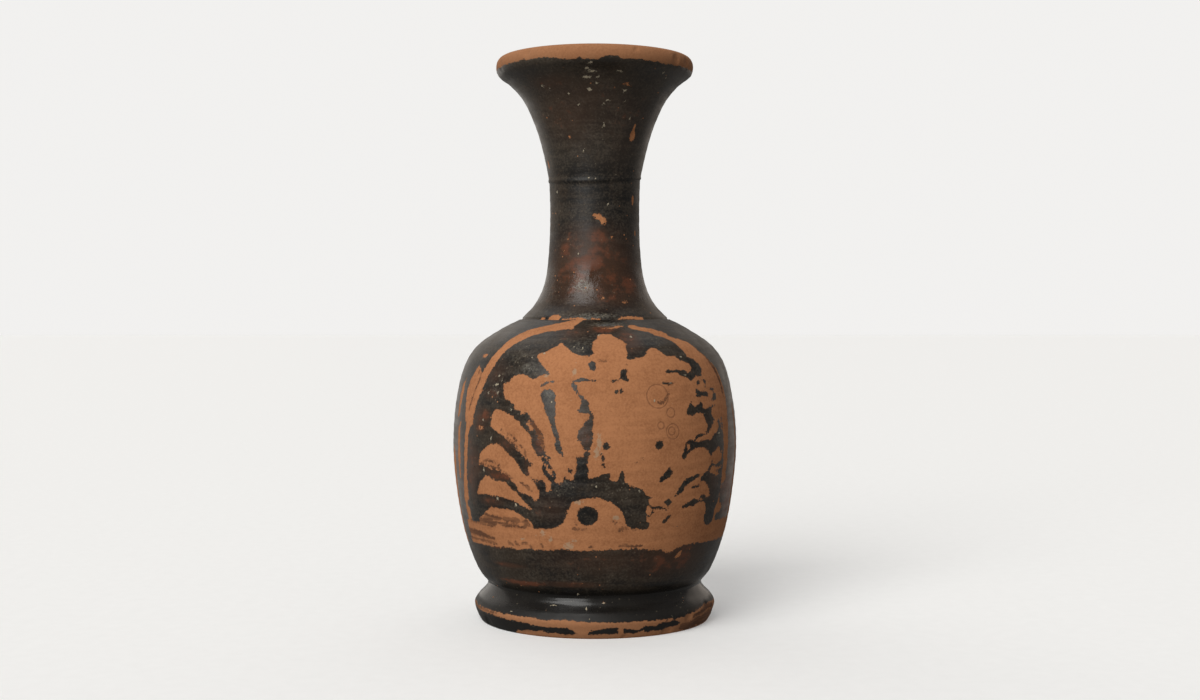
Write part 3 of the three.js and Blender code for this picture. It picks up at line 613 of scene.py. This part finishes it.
# The slip: foot, lip and inside
# The foot's edge was left bare with a row of painted dashes, the lip was wiped clean, and the
# slip runs a finger's length down inside the mouth. The underside never had any.
FOOT_GLOSS_FROM = [
    (-121, 5.2), (-60, 5.3), (-45, 5.2), (-30, 5.2), (-20, 5.4), (-17, 5.1), (-14, 5), (-10, 5.4),
    (-6, 5.2), (-3, 4.9), (4, 4.9), (8, 4.7), (11, 4.6), (14.5, 4.8), (17, 4.6), (25, 4.5), (28, 4.3),
    (34, 4.9), (40, 5.6), (44, 6.3), (48, 6.1), (60, 5.2), (121, 5.2),
]
DASHES = [
    [(-121, 4.3), (-42, 4.2), (-35, 4.2), (-31, 3.9), (-25, 3.8), (-21, 3.6), (-19.6, 3.3), (-15, 3.2),
     (-8.4, 3.2), (-6, 2.3), (-4.9, 1.6), (-5, 1.2), (-8, 1.3), (-15.2, 1.4), (-15.5, 1.9), (-22, 1.5),
     (-26, 0.9), (-28, -0.6), (-121, -0.6)],
    [(-2.1, 1.7), (-1, 2.5), (2, 3.1), (4, 3.4), (7.3, 3.3), (7.2, 1.6), (4, 1.5), (-1.9, 1.4)],
    [(8.6, 3.1), (11, 2.8), (13.5, 2.5), (14.6, 2.8), (16, 3.4), (19, 3.1), (21, 3.6), (24, 4), (27, 3.9),
     (29, 3), (28, 2.4), (24, 1.8), (21.5, 1.6), (20, 1.5), (18, 1.8), (16.8, 1.3), (15.8, 1.6),
     (15.4, 2.3), (14.6, 2.2), (14, 1.4), (10, 1.6), (9, 1.9)],
    [(53, 3.4), (66, 4.1), (121, 4.3), (121, -0.6), (60, -0.6), (56, 0.8)],
]
LIP_BARE_FROM = 146.0
LIP_ZONE = 12.0
LIP_EDGE = [
    (-121, 0.5), (-60, 0.7), (-40, 0.7), (-24, 0.9), (-18, 0.8), (-15, 0.4), (-13, 0), (-7, -0.1),
    (-5.4, 0.5), (-4.4, -0.2), (1.4, -0.4), (2.4, 0.4), (5, 0.8), (8.6, 0.8), (9.6, 0.2), (20, 0.2),
    (25, 0), (28, -0.3), (34, -0.1), (60, 0.3), (121, 0.5),
]
LIP_BARE_INSIDE = 3.2
MOUTH_SLIP_DEPTH = 33.0

# The slip's running edge down there, as waves: their depth, how many go round, and their start.
MOUTH_RUNS = [(3.0, 3, 1.0), (1.5, 8, 0.0)]

foot_slip = up - np.interp(across, *np.transpose(FOOT_GLOSS_FROM))
for outline in DASHES:
    foot_slip = np.maximum(foot_slip, -from_outline(outline))
slip = np.where(up < up_at(FOOT[3][1]) + REACH, np.minimum(slip, foot_slip), slip)
lip_from = up_at(LIP_BARE_FROM) + np.interp(across, *np.transpose(LIP_EDGE))
slip = np.where(up > UP_AT_LIP - LIP_ZONE, np.minimum(slip, lip_from - up), slip)
in_mouth = up - UP_AT_MOUTH_TOP - LIP_BARE_INSIDE
slip_end = MOUTH_SLIP_DEPTH + sum(d * np.sin(n * turn + start) for d, n, start in MOUTH_RUNS)
slip = np.where(up > UP_AT_MOUTH_TOP, np.minimum(in_mouth, slip_end - in_mouth), slip)
slip[on_strap] = REACH


# Wear, stains and a painted highlight
# Here the slip chipped off, fired red or brown, wore thin or took a pale crust; low on the neck a
# silver, scratched patch is painted where the highlight falls. A mark is a turn in degrees and a
# height, or on the painted body a place across and up, then a half width and a half height, and
# for a soft patch its strength.
CRUST_SIZE, BODY_CRUST_SIZE, DEPOSIT_SIZE = 1.65, 1.4, 1.7
PATCH_EDGE = 1.25
UNSEEN_RED, UNSEEN_WEAR = 0.25, 0.1
CHIPS = [
    (42.5, 128.2, 0.95, 1.5), (42.8, 130, 0.4, 1.3), (2.6, 107.2, 1, 0.5), (6.5, 106.3, 1.2, 0.5),
    (10.3, 105.5, 0.8, 0.5), (56.9, 111.6, 0.5, 1.4), (63, 102.9, 0.4, 0.8), (-70, 121.4, 0.4, 0.9),
    (23.6, 140.5, 1, 0.4), (-39.1, 88.9, 0.3, 0.3), (21.6, 101.3, 0.3, 0.3), (8.3, 85.5, 0.45, 0.4),
    (-40, 98.4, 0.25, 0.3), (4.6, 8.8, 0.3, 0.25), (-5.3, 14.2, 0.25, 0.3), (30, 84.6, 0.6, 0.3),
    (-26, 127.5, 0.3, 0.3),
]
CRUSTS = [
    (-2, 145, 0.5, 0.3), (-4.6, 143.9, 0.5, 0.25), (2.4, 141.8, 0.6, 0.25), (14.5, 141.6, 0.5, 0.25),
    (-20.5, 138.4, 0.4, 0.25), (-30, 142.3, 0.5, 0.2), (-44.6, 142.3, 0.5, 0.2), (26, 136.8, 0.35, 0.25),
    (19.4, 124.4, 0.25, 0.3), (-12, 124, 0.25, 0.25), (34.8, 132.4, 0.3, 0.25), (9.2, 130.4, 0.3, 0.2),
    (-3.6, 138.9, 0.6, 0.3), (23.8, 138.9, 0.5, 0.25), (7.5, 135.9, 0.6, 0.25), (11.5, 136.2, 0.5, 0.3),
    (16.1, 143.5, 0.9, 0.35), (21, 142.9, 0.5, 0.25), (-1.2, 143.3, 0.9, 0.3), (-5.5, 141.9, 0.8, 0.25),
    (-41.5, 140.8, 0.9, 0.3), (-36, 139.6, 0.4, 0.2), (-13.5, 135.7, 0.4, 0.3), (-55.4, 114, 0.35, 0.35),
    (-28.4, 130.9, 0.3, 0.25), (3.6, 109.8, 0.3, 0.3), (16.6, 110.4, 0.3, 0.3), (-20.2, 97, 0.25, 0.25),
    (-7, 118, 0.25, 0.25), (1, 117.8, 0.2, 0.2), (31, 137, 0.3, 0.25), (55, 143, 0.7, 0.3),
    (49, 144, 0.4, 0.25), (2, 140.6, 0.5, 0.25),
]
BODY_CRUSTS = [
    (-31.4, 64.8, 0.5, 0.5), (-27.6, 65.1, 0.5, 0.4), (-28.4, 67.2, 0.8, 0.35), (-26.8, 68.4, 0.35, 0.3),
    (-28.4, 69.4, 0.4, 0.3), (-22.5, 61, 0.55, 0.35), (-31.8, 45.2, 0.4, 0.6), (-27.4, 38.1, 0.5, 0.5),
    (-21.4, 37, 0.5, 0.35), (-18.3, 74.8, 0.3, 0.5), (12.8, 82.4, 0.6, 0.5), (-3.5, 77.8, 0.35, 0.45),
    (-6.2, 78.1, 0.45, 0.3), (27.3, 74.7, 0.5, 0.25), (21.4, 67.55, 0.5, 0.2), (38, 54.2, 0.7, 0.25),
    (26.6, 69.6, 0.25, 0.4), (-28.9, 53.2, 0.3, 0.6), (0.4, 42.4, 0.3, 0.5), (11.3, 41.1, 0.3, 0.35),
    (-11.1, 63.2, 0.35, 0.3), (-32.2, 58, 0.5, 0.35), (15.9, 63.3, 0.35, 0.4), (-13.5, 9.5, 1.2, 0.3),
    (-2.4, 8.9, 0.35, 0.6), (-1.5, 5.9, 0.3, 0.4), (3.2, 10.3, 0.7, 0.25), (-28, 6.2, 0.5, 0.3),
    (25.2, 5.1, 0.3, 0.3), (-5.3, 12.5, 0.4, 0.25), (-15, 76, 0.9, 0.3), (1.6, 83, 0.5, 0.4),
]
DEPOSITS = [
    (1.2, 53, 0.6, 2), (0.6, 50.8, 0.5, 1.2), (-4.2, 38.5, 1.2, 0.5), (5.7, 34.4, 0.7, 0.6),
    (-14, 30.2, 0.7, 0.7), (-7, 27, 1.1, 0.9), (-5.4, 28.4, 0.8, 0.4), (-11.8, 28.6, 0.6, 0.7),
    (-20.4, 28.2, 0.6, 0.3), (-13.2, 69.8, 0.8, 0.4), (-5.4, 70.8, 0.5, 0.8),
]
REDDENED = [
    (0, 93, 20, 13, 0.64), (5, 97, 6, 5, 0.8), (-8, 95, 5, 4, 0.8), (-20, 101, 7, 6, 0.4),
    (2.8, 101.8, 4, 3, 0.9), (1.5, 94.1, 4.5, 3.2, 1), (6, 91.4, 3, 2.4, 0.9), (-38.7, 98.2, 3, 3, 0.9),
    (41.9, 89.2, 5, 5, 0.8), (-28, 88, 6, 6, 0.5), (22, 86, 7, 5, 0.5), (-25, 133, 14, 10, 0.35),
    (-32, 141, 10, 4, 0.4), (34, 127, 8, 10, 0.2), (-36, 13, 9, 1, 1), (-11, 13.5, 10, 0.8, 0.9),
    (-42, 17.5, 6, 0.9, 0.9), (-45, 22, 5, 0.6, 0.7), (35, 20, 16, 7, 0.6), (60, 3, 9, 3, 0.6),
    (5, 20, 22, 5, 0.35), (-14, 137, 22, 9, 0.3), (26, 134, 16, 12, 0.25),
]
BODY_REDDENED = [
    (-13.6, 53, 2.2, 4, 0.75), (-16.4, 57.6, 1.4, 2, 0.7), (-36.5, 46.5, 4.5, 6, 0.65),
    (-38, 51, 2.6, 4, 0.5), (11.5, 81, 5, 6, 0.7), (4, 86.4, 7, 2.6, 0.9), (-11, 36.5, 6.5, 5, 0.35),
    (-2.4, 54.5, 2.4, 4, 0.6), (-31.5, 59, 2.4, 2, 0.9), (-30, 65, 5, 2, 0.5), (36.5, 42, 4, 4, 0.5),
    (-8, 84, 9, 4, 0.4), (-33.6, 56, 2.5, 1.2, 0.9), (44, 40, 5, 5, 0.8), (-46, 50, 5, 14, 0.5),
    (46, 55, 5, 12, 0.5), (-16, 46, 3, 6, 0.5), (-25, 44.2, 6, 1.4, 0.9), (48, 38, 7, 14, 0.9),
    (-29, 45.4, 4, 1.2, 0.55), (-30, 37.4, 6, 1.6, 0.6), (-23, 52.5, 5, 3, 0.5), (-38, 44, 3, 8, 0.7),
    (-34, 58, 4, 4, 0.6), (-30, 70, 6, 5, 0.4), (34, 56, 6, 5, 0.35), (35, 41, 4, 6, 0.4),
]
# The neck patch is wear and a painted highlight in one: it lies where the window's highlight falls and
# paints it silver, blue and pale-scratched.
NECK_WEAR_AND_HIGHLIGHT = [(-14, 88.8, 3.4, 2.8, 0.95)]
WORN = [
    (-24, 75.5, 9, 6, 0.55), (-18.5, 72, 5, 3, 0.7), (-28, 66.5, 4, 4, 0.6), (-3, 80, 6, 6, 0.6),
    (-12, 65, 2.5, 2.5, 0.85), (22, 80, 8, 4, 0.4), (6, 88.4, 12, 2.4, 1), (-8, 42, 6, 3, 0.6),
    (4, 42.6, 8, 2.4, 0.5), (38, 53.5, 3, 3, 0.7), (-4, 56, 2.5, 3, 0.5), (-2, 93, 20, 2, 0.9),
]


def on_body(marks):
    """Marks placed by turn and height, as places across and up with the wall's radius there."""
    placed = []
    for degrees, height, half_across, half_up, *strength in marks:
        spot = (math.radians(degrees) * BELLY_RADIUS, float(up_at(height)))
        half_turned = half_across * BELLY_RADIUS / girth_at(height)
        placed.append((*spot, half_turned, half_up, *strength))
    return placed


def from_marks(marks):
    """How far each point of the outside lies inside the nearest of some spots, in mm."""
    best = np.full(len(points), -REACH)
    for mark in marks:
        best = np.maximum(best, -from_oval(*mark))
    best[on_strap | (up > UP_AT_MOUTH_TOP)] = -REACH
    return best


def grown(ovals, size):
    """The same spots, so many times larger, as full patches."""
    return [(*place, size * half_across, size * half_up, 1) for *place, half_across, half_up in ovals]


def clouded(marks, unseen=0):
    """Soft patches, 1 at the heart of a full one and 0 outside them all."""
    total = np.zeros(len(points))
    for *oval, strength in marks:
        inwards = np.clip(PATCH_EDGE - share_of_oval(*oval), 0, 1)
        total = np.maximum(total, strength * inwards)
    total[on_strap | (up > UP_AT_MOUTH_TOP)] = unseen
    return total


slip = np.minimum(slip, -from_marks(on_body(CHIPS)))
layers = {
    "slip": slip,
    "brown": brown,
    "crust": clouded(grown(on_body(CRUSTS), CRUST_SIZE) + grown(BODY_CRUSTS, BODY_CRUST_SIZE)),
    "deposit": clouded(grown(DEPOSITS, DEPOSIT_SIZE)),
    "red": clouded(on_body(REDDENED) + BODY_REDDENED, UNSEEN_RED),
    "wear_and_highlight": clouded(WORN + on_body(NECK_WEAR_AND_HIGHLIGHT), UNSEEN_WEAR),
}
for name, values in layers.items():
    layer = one_piece.attributes.new(name, "FLOAT", "POINT")
    layer.data.foreach_set("value", values.astype(np.float32))
for face in one_piece.polygons:
    face.use_smooth = True


# The wall's unevenness
# Thrown and handled: the line where the mouth was joined dips in front, the wheel and the
# turning left faint ridges and flats, and the edges of foot and lip took small nicks. A nick is
# a turn in degrees, a height, a size and a depth.
JOIN_DIP, JOIN_DIP_SHAPE, JOIN_TILT, JOIN_SPREAD = 1.25, 1.5, 0.45, 9.0
RIDGE_DEPTH, RIDGE_PITCH, RIDGE_WANDER = 0.05, 2.7, 2.0
UNEVEN_DEPTH, UNEVEN_SIZE = 0.22, 13.0
ROUGH_DEPTH, ROUGH_SIZE = 0.07, 3.2
EVEN_AT_FOOT, EVEN_AT_LIP = 2.5, 2.0
NICK_EDGE, NICK_RAGGED = 1.2, 0.6
NICKS = [
    (-62, 0.8, 1.8, 0.35), (-33, 0.3, 1.3, 0.25), (-12, 0.2, 1, 0.25), (14, 0.2, 1.2, 0.3),
    (36, 0.6, 1.6, 0.4), (49, 3.6, 1.8, 0.4), (58, 1.2, 2.2, 0.5), (67, 4.8, 1.8, 0.4),
    (-78, 4.5, 1.6, 0.3), (120, 0.6, 2, 0.4), (-130, 3.8, 1.8, 0.4), (170, 0.4, 1.6, 0.35),
    (-41, 148.4, 1.2, 0.3), (24, 148.8, 1, 0.25), (54, 147.8, 1.5, 0.35), (66, 147.4, 1.2, 0.3),
    (-70, 147.2, 1.3, 0.3), (140, 148.2, 1.6, 0.35), (-110, 148.6, 1.2, 0.3), (42.6, 128.6, 1.3, 0.2),
    (5, 106.6, 1.4, 0.18), (2, 91.5, 2, 0.15), (-8, 88, 1.6, 0.15),
]
seen = (up > 0) & (up < UP_AT_MOUTH_TOP)
normals = np.empty(len(one_piece.vertices) * 3)
one_piece.vertices.foreach_get("normal", normals)
normals = normals.reshape(-1, 3)
broad_waves = np.array([noise.noise(Vector(spot) / UNEVEN_SIZE) for spot in points])
small_waves = np.array([noise.noise(Vector(spot) / ROUGH_SIZE) for spot in points])
ridges = np.sin(2 * math.pi * (up + RIDGE_WANDER * broad_waves) / RIDGE_PITCH)
waves = [(UNEVEN_DEPTH, broad_waves), (ROUGH_DEPTH, small_waves), (RIDGE_DEPTH, ridges)]
sunk = sum(depth * (1 + wave) / 2 for depth, wave in waves)
sunk *= np.clip(up / EVEN_AT_FOOT, 0, 1) * np.clip((HEIGHT - rise) / EVEN_AT_LIP, 0, 1)
for degrees, height, size, depth in NICKS:
    centre = on_skin(math.radians(degrees), height)
    gap = np.linalg.norm(points - centre, axis=1) / size * (1 + NICK_RAGGED * small_waves)
    sunk += depth * np.clip(NICK_EDGE - gap**2, 0, 1)
moved = points - normals * np.where(seen, sunk, 0)[:, None]
near_join = np.clip(1 - np.abs(rise - JOIN[1]) / JOIN_SPREAD, 0, 1)**2
dip = JOIN_TILT * np.sin(turn) - JOIN_DIP * np.maximum(np.cos(turn), 0)**JOIN_DIP_SHAPE
moved[:, 2] += np.where(seen & ~on_strap, near_join * dip, 0)
one_piece.vertices.foreach_set("co", (moved * MM).ravel())
one_piece.update()


# The slip: clay and gloss
# Iron-rich clay fired orange, under a thin slip of the finest of the same clay, which fired
# black and half glossy. It thins to brown at its edges, shows wear, and is speckled and pin-holed;
# low on the neck a highlight is painted into it as silver, blue and pale scratches.
CLAY_LIGHT, CLAY_DARK = (0.43, 0.184, 0.079, 1), (0.31, 0.124, 0.050, 1)
CLAY_BROWN = (0.20, 0.080, 0.036, 1)
CLAY_DULL = (0.23, 0.118, 0.062, 1)
SLIP_WARM, SLIP_COOL = (0.029, 0.020, 0.013, 1), (0.008, 0.0072, 0.0066, 1)
SLIP_LIFT = (0.078, 0.063, 0.047, 1)
SLIP_THIN = (0.058, 0.027, 0.014, 1)
SLIP_RUBBED = (0.062, 0.026, 0.014, 1)
SLIP_BROWN = (0.062, 0.029, 0.016, 1)
SLIP_RED = (0.125, 0.042, 0.020, 1)
SLIP_SILVER = (0.088, 0.080, 0.062, 1)
SLIP_BLUE = (0.048, 0.056, 0.068, 1)
SCRATCH_PALE = (0.24, 0.225, 0.195, 1)
SPECK_PALE = (0.20, 0.165, 0.115, 1)
CRUST_PALE = (0.42, 0.36, 0.26, 1)
DEPOSIT_PALE = (0.36, 0.28, 0.19, 1)
CLAY_ROUGHNESS, SLIP_ROUGHNESS, SLIP_IOR = 0.90, 0.38, 1.36

# Heights in mm over which a zone of the flask begins, or ends.
LIP_HANDLED_FROM, FOOT_HANDLED_TO = (140, 144), (7, 10)
FOOT_TO, FOOT_EDGE_TO, MOUTH_FROM = (10.5, 13), (5.6, 6.8), (117, 123)
THROAT_FROM, THROAT_TO = (92, 97), (112, 124)
# The glint band is the height where the highlight falls low on the neck.
GLINT_FROM, GLINT_TO = (83, 86), (91, 95)

# How far apart pinholes and pale specks lie and how large the noise for the scratches is, in
# mm. DRAWN_OUT stretches a noise round the flask, as the marks of brush and wheel run.
PINHOLE_GAP, SPECK_GAP, SCRATCH_SIZE = 2.6, 1.1, 1.3
DRAWN_OUT = (0.12, 0.12, 1.0)

# How high slip and crust stand on the clay and how deep the ring marks are, in mm.
SLIP_HEIGHT, CRUST_HEIGHT, RING_DEPTH = 0.02, 0.08, 0.05


class Value:
    """A socket of the finish, so that its sums read as sums."""

    def __init__(self, finish, socket):
        self.finish, self.socket = finish, socket

    def sum_of(self, operation, first, second):
        return self.finish.node("Math", {"operation": operation}, {0: first, 1: second})

    def __add__(self, other):
        return self.sum_of("ADD", self, other)

    def __sub__(self, other):
        return self.sum_of("SUBTRACT", self, other)

    def __rsub__(self, other):
        return self.sum_of("SUBTRACT", other, self)

    def __mul__(self, other):
        return self.sum_of("MULTIPLY", self, other)

    __radd__, __rmul__ = __add__, __mul__

    def size(self):
        """Without its sign."""
        return self.finish.node("Math", {"operation": "ABSOLUTE"}, {0: self})

    def between(self, low, high):
        """0 below low, 1 above high, and a soft step in between."""
        return self.finish.node("MapRange", {"interpolation_type": "SMOOTHSTEP"},
                                {"Value": self, "From Min": low, "From Max": high})


class Finish:
    """The nodes of a material, or of the light in the room, built up one by one."""

    def __init__(self, owner):
        self.owner = owner
        owner.use_nodes = True
        self.tree = owner.node_tree
        self.tree.nodes.clear()

    def node(self, kind, settings, sockets, out=0):
        made = self.tree.nodes.new("ShaderNode" + kind)
        for name, value in settings.items():
            setattr(made, name, value)
        for name, value in sockets.items():
            if isinstance(value, Value):
                self.tree.links.new(value.socket, made.inputs[name])
            else:
                made.inputs[name].default_value = value
        return Value(self, made.outputs[out] if made.outputs else None)

    def grain(self, place, size, detail=2.0, roughness=0.5):
        """Cloudy noise whose lumps are about that many mm across."""
        return self.node("TexNoise", {}, {"Vector": place, "Scale": 1 / (size * MM),
                                          "Detail": detail, "Roughness": roughness})

    def cells(self, place, size):
        """The distance to the nearest of points scattered about that many mm apart."""
        return self.node("TexVoronoi", {}, {"Vector": place, "Scale": 1 / (size * MM)})

    def layer(self, name):
        return self.node("Attribute", {"attribute_name": name}, {}, "Fac")

    def mix(self, share, under, over):
        return self.node("Mix", {"data_type": "RGBA"}, {0: share, 6: under, 7: over}, 2)


finish = Finish(bpy.data.materials.new("slipped_clay"))
place = finish.node("TexCoord", {}, {}, "Object")
around = finish.node("Mapping", {}, {"Vector": place, "Scale": DRAWN_OUT})
broad = finish.grain(place, 14.0, 3.0)
cloud = finish.grain(place, 5.0, 4.0)
ragged = finish.grain(place, 1.5, 4.0, 0.6)
grit = finish.grain(place, 0.6, 3.0, 0.7)
brushed = finish.grain(around, 1.3, 4.0, 0.6)
thrown = finish.grain(around, 0.5, 2.0)
raised = finish.node("SeparateXYZ", {}, {0: place}, 2)
red, wear_and_highlight = finish.layer("red"), finish.layer("wear_and_highlight")


def above(heights):
    """0 below the first height and 1 above the second."""
    return raised.between(heights[0] * MM, heights[1] * MM)


def torn(value, *pulls):
    """A value that noises pull up and down, each with its strength."""
    for grain, strength in pulls:
        value = value + (grain - 0.5) * strength
    return value


depth = torn(finish.layer("slip"), (ragged, 1.2 + red * 1.0), (grit, 1.3 + red * 1.8))
covered = depth.between(-0.05, 0.06)
pinholes = 1 - finish.cells(place, PINHOLE_GAP).between(0.05, 0.10)
flaked = pinholes * (cloud + red * 0.25).between(0.50, 0.60)
covered = covered * (1 - flaked)
browned = torn(finish.layer("brown"), (ragged, 1.0), (grit, 2.2)).between(-0.05, 0.15)
rubbed = (1 - covered) * browned * (0.62 + 0.38 * brushed.between(0.4, 0.6))

clay = finish.mix((cloud * 0.35 + grit * 0.65).between(0.30, 0.62), CLAY_DARK, CLAY_LIGHT)
clay = finish.mix(brushed.between(0.56, 0.74) * 0.12, clay, CLAY_BROWN)
handled = above(LIP_HANDLED_FROM) + 1 - above(FOOT_HANDLED_TO)
clay = finish.mix(handled * (0.15 + 0.5 * cloud), clay, CLAY_DULL)
marks = None
for mark_across, mark_up, mark_radius in RINGS:
    mark_height = float(np.interp(mark_up, outline_up, outside[:, 1]))
    centre = tuple(on_skin(mark_across / BELLY_RADIUS, mark_height) * MM)
    from_centre = finish.node("VectorMath", {"operation": "DISTANCE"}, {0: place, 1: centre},
                              "Value")
    off_mark = (from_centre * (1 / MM) - mark_radius).size()
    marks = off_mark if marks is None else marks.sum_of("MINIMUM", marks, off_mark)
ringed = 1 - torn(marks, (ragged, 0.5)).between(0.04, 0.26)
clay = finish.mix(ringed * 0.62, clay, CLAY_BROWN)
clay = finish.mix(rubbed * 0.85, clay, SLIP_RUBBED)
deposited = torn(finish.layer("deposit"), (grit, 2.0), (ragged, 1.0)).between(0.45, 0.9)
clay = finish.mix(deposited * 0.6, clay, DEPOSIT_PALE)

foot, foot_edge, flared = 1 - above(FOOT_TO), 1 - above(FOOT_EDGE_TO), above(MOUTH_FROM)
throat = above(THROAT_FROM) * (1 - above(THROAT_TO))
glint = above(GLINT_FROM) * (1 - above(GLINT_TO))
warmth = (broad * 0.50 + brushed * 0.20 + ragged * 0.30).between(0.42, 0.60)
black = finish.mix(warmth, SLIP_COOL, SLIP_WARM)
lifted = torn(grit * 0.75 + brushed * 0.25, (cloud, 0.3)).between(0.42, 0.66)
black = finish.mix(lifted * 0.52 + flared * 0.24, black, SLIP_LIFT)
black = finish.mix(foot * 0.9, black, SLIP_COOL)
black = finish.mix(red.between(0.0, 0.7) * 0.75, black, SLIP_BROWN)
fired = torn(red * 1.3, (cloud, 1.8), (ragged, 1.6), (brushed, 0.8)).between(0.60, 1.25)
black = finish.mix(fired * 0.85, black, SLIP_RED)
thinned = 1 - torn(depth, (cloud, 1.0)).between(0.0, 0.35)
black = finish.mix(thinned * 0.55, black, SLIP_THIN)
# Wear turns the slip silver and blue and brings out pale scratches and specks; on the neck patch these
# paint the highlight.
scuffs_and_highlight = torn(wear_and_highlight * 1.1, (grit, 2.2), (ragged, 0.8)).between(0.45, 1.25)
black = finish.mix(scuffs_and_highlight * 0.7, black, SLIP_SILVER)
blue = torn(wear_and_highlight, (brushed, 0.9), (ragged, 0.6)).between(0.85, 1.15)
black = finish.mix(blue * 0.55, black, SLIP_BLUE)
scratches = 1 - (finish.grain(place, SCRATCH_SIZE, 3.0) - 0.5).size().between(0.006, 0.035)
scratched = scratches * torn(wear_and_highlight, (cloud, 1.0)).between(0.45, 0.85)
# In the glint band low on the neck the pale scratches are painted stronger, as a painted highlight.
black = finish.mix(scratched * (0.4 + glint * 0.5), black, SCRATCH_PALE)
specks = 1 - finish.cells(place, SPECK_GAP).between(0.10, 0.24)
specks = specks * (ragged * 0.7 + cloud * 0.3 + wear_and_highlight * 0.22).between(0.52, 0.60)
black = finish.mix(specks * (0.35 + 0.5 * wear_and_highlight), black, SPECK_PALE)
surface = finish.mix(covered, clay, black)
crusted = torn(finish.layer("crust"), (grit, 2.4), (ragged, 0.8)).between(0.54, 0.76)
surface = finish.mix(crusted * 0.85, surface, CRUST_PALE)

gloss = (torn(SLIP_ROUGHNESS + specks * 0.2 + scuffs_and_highlight * 0.15, (cloud, 0.35), (brushed, 0.25))
         - foot * 0.15 + foot_edge * 0.30 + throat * 0.12 - glint * 0.14)
roughness = finish.node("Mix", {}, {0: covered, 2: CLAY_ROUGHNESS, 3: gloss})
tooled = brushed * 0.05 + thrown * 0.015 + grit * 0.03 + cloud * 0.05
height = (covered * SLIP_HEIGHT + crusted * CRUST_HEIGHT - ringed * RING_DEPTH
          + tooled * (1 - foot * 0.65) + glint * (ragged * 0.08 + grit * 0.04))
bump = finish.node("Bump", {}, {"Height": height, "Strength": 1.0, "Distance": MM})
shader = finish.node("BsdfPrincipled", {}, {
    "Base Color": surface, "Roughness": roughness, "Normal": bump, "IOR": SLIP_IOR,
})
finish.node("OutputMaterial", {}, {"Surface": shader})
one_piece.materials.clear()
one_piece.materials.append(finish.owner)

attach(flask, "root")
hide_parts("vessel")


# The studio
# A plain pale paper floor that runs out to a pale backdrop, under soft light: a tall window on
# the left in front, a pale ceiling, and pale walls to both sides. The camera stands level with
# the middle of the flask.
FLOOR_REACH = 6.0
PAPER_DARK, PAPER_LIGHT = (0.66, 0.66, 0.655, 1), (0.70, 0.70, 0.695, 1)
PAPER_GLOW, PAPER_ROUGHNESS, FIBRE_SIZE = 0.225, 0.9, 4.0
paper = Finish(bpy.data.materials.new("floor_paper"))
fibres = paper.grain(paper.node("TexCoord", {}, {}, "Object"), FIBRE_SIZE)
paper_white = paper.mix(fibres, PAPER_DARK, PAPER_LIGHT)
sheet = paper.node("BsdfPrincipled", {}, {
    "Base Color": paper_white, "Roughness": PAPER_ROUGHNESS, "Emission Color": (1, 1, 1, 1),
    "Emission Strength": PAPER_GLOW,
})
paper.node("OutputMaterial", {}, {"Surface": sheet})
floor_mesh = bpy.data.meshes.new("floor")
ground = bmesh.new()
bmesh.ops.create_grid(ground, x_segments=1, y_segments=1, size=FLOOR_REACH)
ground.to_mesh(floor_mesh)
ground.free()
floor_mesh.materials.append(paper.owner)
floor_sheet = bpy.data.objects.new("floor", floor_mesh)
floor_sheet.visible_glossy = False
floor_sheet.visible_diffuse = False
bpy.context.collection.objects.link(floor_sheet)

# Each light: the side that it comes from, its softness in degrees, its strength and its colour.
LIGHTS = [
    ("window_high", (-0.45, -0.75, 0.85), 40, 1.95, (1.0, 0.99, 0.965)),
    ("window_low", (-0.44, -0.88, 0.22), 34, 1.15, (1.0, 0.99, 0.965)),
    ("ceiling", (-0.10, 0.40, 1.00), 60, 0.60, (1.0, 1.0, 1.0)),
    ("left_wall", (-0.70, 0.85, 0.25), 60, 0.50, (1.0, 0.93, 0.85)),
    ("right_wall", (0.70, 0.90, 0.25), 50, 0.24, (1.0, 0.84, 0.70)),
]
for name, side, softness, strength, colour in LIGHTS:
    lamp = bpy.data.lights.new(name, "SUN")
    lamp.angle, lamp.energy, lamp.color = math.radians(softness), strength, colour
    lamp_object = bpy.data.objects.new(name, lamp)
    lamp_object.location = side
    lamp_object.rotation_euler = Vector(side).to_track_quat("Z", "Y").to_euler()
    bpy.context.collection.objects.link(lamp_object)

ROOM_LIGHT, ROOM_WHITE = 0.20, (1, 0.97, 0.93, 1)
BACKDROP_LIGHT, BACKDROP_WHITE = 0.885, (1, 0.99, 0.975, 1)
room = Finish(bpy.data.worlds.new("studio"))
seen_directly = room.node("LightPath", {}, {}, "Is Camera Ray")
walls = room.node("Background", {}, {"Color": ROOM_WHITE, "Strength": ROOM_LIGHT})
backdrop = room.node("Background", {}, {"Color": BACKDROP_WHITE, "Strength": BACKDROP_LIGHT})
either = room.node("MixShader", {}, {0: seen_directly, 1: walls, 2: backdrop})
room.node("OutputWorld", {}, {"Surface": either})
bpy.context.scene.world = room.owner
bpy.context.scene.view_settings.view_transform = "Standard"

IMAGE_WIDTH, SHIFT_DOWN = 1200, 34
CAMERA_PLACE = (0.00143, -0.4088, 0.0808)
camera = bpy.data.cameras.new("camera")
camera.lens = 45.36
camera.sensor_width = 36.0
camera.shift_y = -SHIFT_DOWN / IMAGE_WIDTH
camera.clip_start = 0.02
camera_object = bpy.data.objects.new("camera", camera)
camera_object.location = CAMERA_PLACE
camera_object.rotation_euler = (math.radians(90), 0, 0)
bpy.context.collection.objects.link(camera_object)
bpy.context.scene.camera = camera_object
